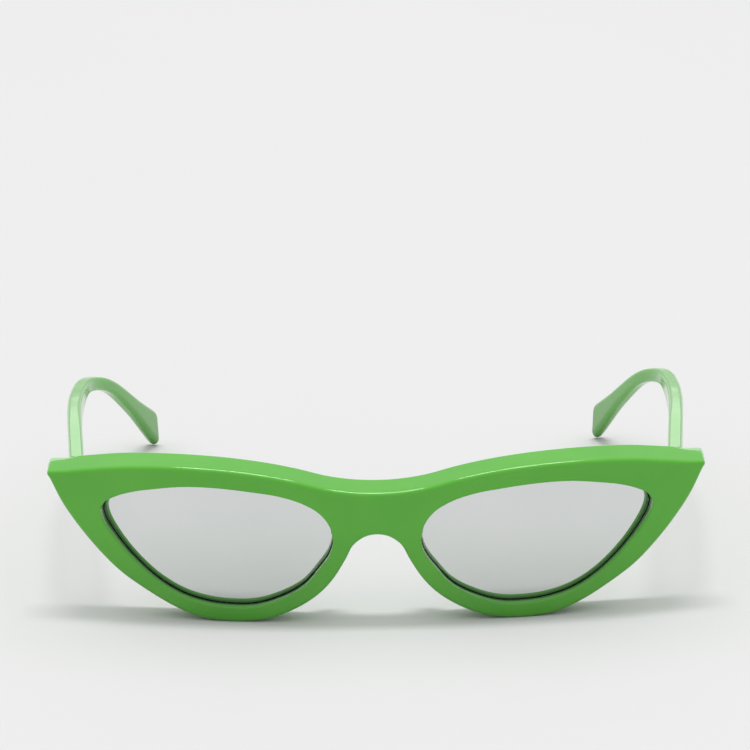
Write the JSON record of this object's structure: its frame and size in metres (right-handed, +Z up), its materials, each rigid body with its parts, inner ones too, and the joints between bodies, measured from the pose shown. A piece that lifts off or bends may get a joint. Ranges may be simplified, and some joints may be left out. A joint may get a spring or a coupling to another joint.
{
  "type": "cat eye sunglasses",
  "caption": "Cat eye sunglasses: upswept thick green acetate front, mirrored lenses, bonded nose pads and slim temples that fold inward on barrel hinges.",
  "frame": {"origin": "on the table under the middle of the sunglasses, which stand on the rims' lowest points and the temple tips", "axes": "+X to the right seen from in front of the lenses, -Y the way the lenses face, +Z up"},
  "size_m": [0.1522, 0.1448, 0.0397],
  "materials": {
    "acetate_green": "polished",
    "nose_pad_green": "polished",
    "lens_mirror": "silver mirror coating",
    "hinge_steel": "satin",
    "screw_steel": "polished",
    "core_wire": "drawn wire"
  },
  "bodies": {
    "front": {"front_frame": "acetate_green", "lens_right": "lens_mirror", "lens_left": "lens_mirror", "nose_pad_right": "nose_pad_green", "nose_pad_left": "nose_pad_green", "hinge_front_leaf_right": "hinge_steel", "hinge_front_leaf_left": "hinge_steel", "pivot_screw_right": "screw_steel", "pivot_screw_left": "screw_steel", "front_screw_1_right": "screw_steel", "front_screw_2_right": "screw_steel", "front_screw_1_left": "screw_steel", "front_screw_2_left": "screw_steel"},
    "temple_right": {"temple_right": "acetate_green", "core_wire_right": "core_wire", "hinge_temple_leaf_right": "hinge_steel", "temple_screw_1_right": "screw_steel", "temple_screw_2_right": "screw_steel"},
    "temple_left": {"temple_left": "acetate_green", "core_wire_left": "core_wire", "hinge_temple_leaf_left": "hinge_steel", "temple_screw_1_left": "screw_steel", "temple_screw_2_left": "screw_steel"}
  },
  "joints": [
    {"name": "fold_right", "type": "hinge", "parent": "front", "child": "temple_right", "pos_m": [0.06602, -0.05369, 0.0318], "axis": [0, 0, 1], "range_deg": [0, 84]},
    {"name": "fold_left", "type": "hinge", "parent": "front", "child": "temple_left", "pos_m": [-0.06602, -0.05369, 0.0318], "axis": [0, 0, -1], "range_deg": [0, 72]}
  ]
}
